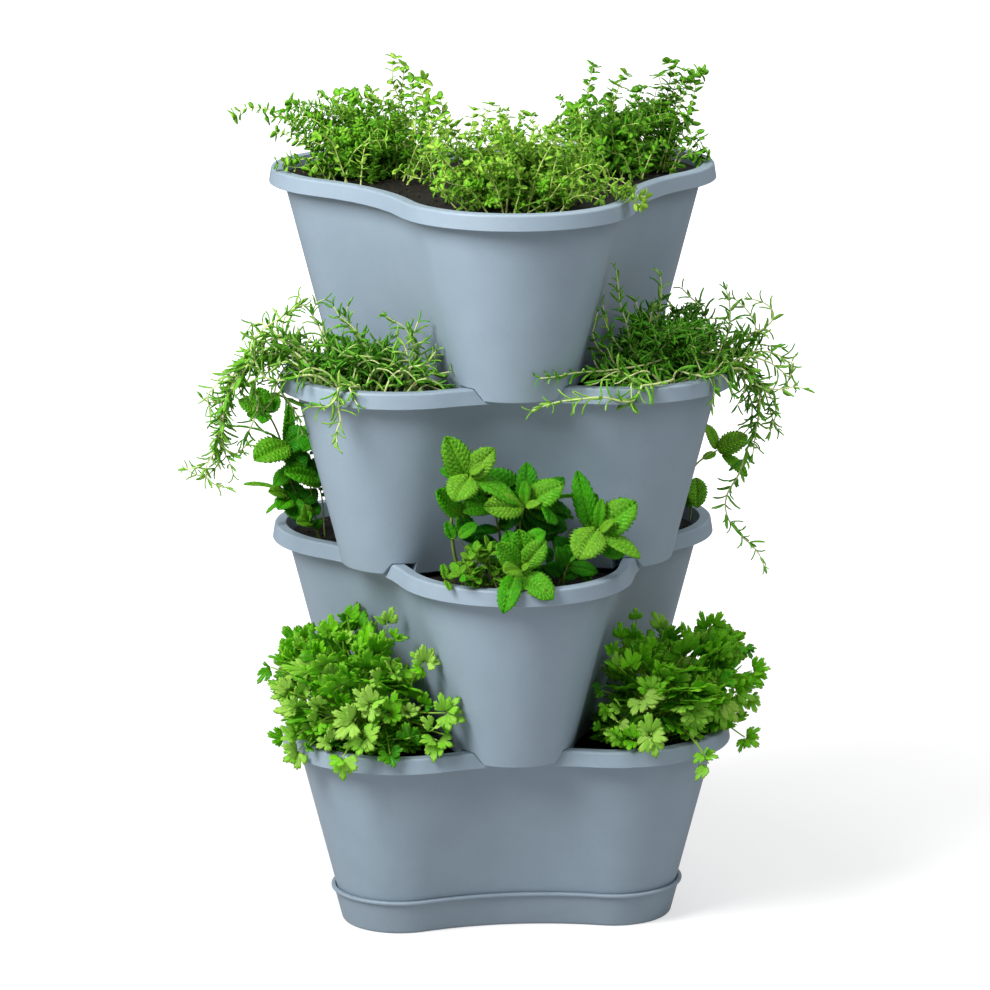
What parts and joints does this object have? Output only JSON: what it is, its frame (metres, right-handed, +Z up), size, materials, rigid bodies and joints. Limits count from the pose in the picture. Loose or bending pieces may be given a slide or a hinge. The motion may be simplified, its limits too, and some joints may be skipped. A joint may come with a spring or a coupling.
{
  "type": "stacking herb planter",
  "caption": "Free-standing indoor herb tower: nested three-lobed plastic pots on a drip saucer, each turned half a turn on the one below, filled and planted with herbs.",
  "frame": {"origin": "centre of the saucer's flat underside, on the stack's vertical axis", "axes": "+Z up, -Y towards the front, where lobes of the second and the top pot face; +X to the right seen from the front"},
  "size_m": [0.5077, 0.448, 0.7133],
  "materials": {
    "pot_plastic": "satin moulded blue-grey plastic with a fine grain",
    "potting_mix": "dark moist potting mix of peat and composted bark",
    "thyme_foliage": "small soft green leaves on thin stems",
    "rosemary_foliage": "narrow green needles on pale stems",
    "mint_foliage": "broad quilted green leaves",
    "parsley_foliage": "bright green cut leaves on long stalks"
  },
  "bodies": {
    "saucer": {"saucer": "pot_plastic"},
    "tier_1": {"planter_tier_1": "pot_plastic", "potting_mix_1": "potting_mix", "parsley_left": "parsley_foliage", "parsley_right": "parsley_foliage", "parsley_back": "parsley_foliage"},
    "tier_2": {"planter_tier_2": "pot_plastic", "potting_mix_2": "potting_mix", "mint_front": "mint_foliage", "mint_left": "mint_foliage", "mint_right": "mint_foliage"},
    "tier_3": {"planter_tier_3": "pot_plastic", "potting_mix_3": "potting_mix", "rosemary_left": "rosemary_foliage", "rosemary_right": "rosemary_foliage", "rosemary_back": "rosemary_foliage"},
    "tier_4": {"planter_tier_4": "pot_plastic", "potting_mix_4": "potting_mix", "thyme_left": "thyme_foliage", "thyme_front": "thyme_foliage", "thyme_right": "thyme_foliage"}
  },
  "joints": [
    {"name": "tier_1_lift", "type": "slide", "parent": "saucer", "child": "tier_1", "axis": [0, 0, 1], "range_m": [0, 0.06]},
    {"name": "tier_2_lift", "type": "slide", "parent": "tier_1", "child": "tier_2", "axis": [0, 0, 1], "range_m": [0, 0.15]},
    {"name": "tier_3_lift", "type": "slide", "parent": "tier_2", "child": "tier_3", "axis": [0, 0, 1], "range_m": [0, 0.15]},
    {"name": "tier_4_lift", "type": "slide", "parent": "tier_3", "child": "tier_4", "axis": [0, 0, 1], "range_m": [0, 0.15]}
  ]
}
